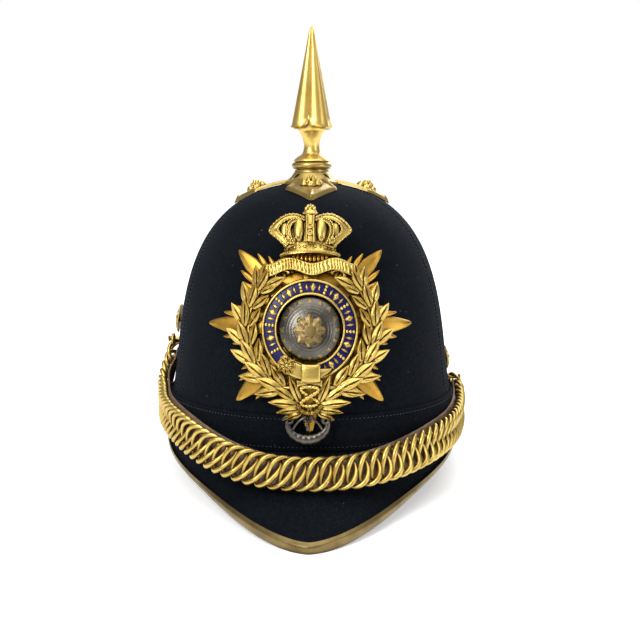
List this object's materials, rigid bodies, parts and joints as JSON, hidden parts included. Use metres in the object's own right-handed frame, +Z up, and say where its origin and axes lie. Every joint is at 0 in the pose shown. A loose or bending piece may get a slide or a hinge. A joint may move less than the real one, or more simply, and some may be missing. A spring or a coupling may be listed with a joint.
{
  "type": "home service helmet",
  "caption": "Officer's dark blue cloth home service helmet with gilt spike, star plate and curb chin chain.",
  "frame": {"origin": "on the surface it stands on, below the spike's axis", "axes": "+Z up along the spike, -Y towards the front plate, +X towards the wearer's left ear"},
  "size_m": [0.1899, 0.3337, 0.265],
  "materials": {
    "cloth": "matt wool over cork",
    "gilt": "polished gilt",
    "old_gilt": "tarnished gilt",
    "silver": "toned silver",
    "enamel": "dark blue enamel",
    "hide": "worn brown leather",
    "patent": "black patent leather"
  },
  "bodies": {
    "root": {"helmet_shell": "cloth", "shell_dome": "cloth", "hat_band": "cloth", "front_peak": "cloth", "back_peak": "cloth", "front_peak_binding": "old_gilt", "back_peak_binding": "patent", "back_bar": "gilt", "cross_base": "gilt", "arm_rose_left": "gilt", "arm_rose_right": "gilt", "arm_rose_back": "gilt", "arm_rose_front": "gilt", "spike_ring": "gilt", "spike": "gilt", "star_plate": "gilt", "belt_ring": "gilt", "enamel_band": "enamel", "boss": "silver", "belt_buckle": "gilt", "wreath_left": "gilt", "wreath_right": "gilt", "crown": "gilt", "scroll": "gilt", "wreath_tie": "gilt", "silver_swag": "silver", "chin_chain": "gilt", "chain_backing": "hide", "ear_rose_right": "gilt", "chain_pin_right": "gilt", "ear_rose_left": "gilt", "chain_pin_left": "gilt"}
  },
  "joints": []
}
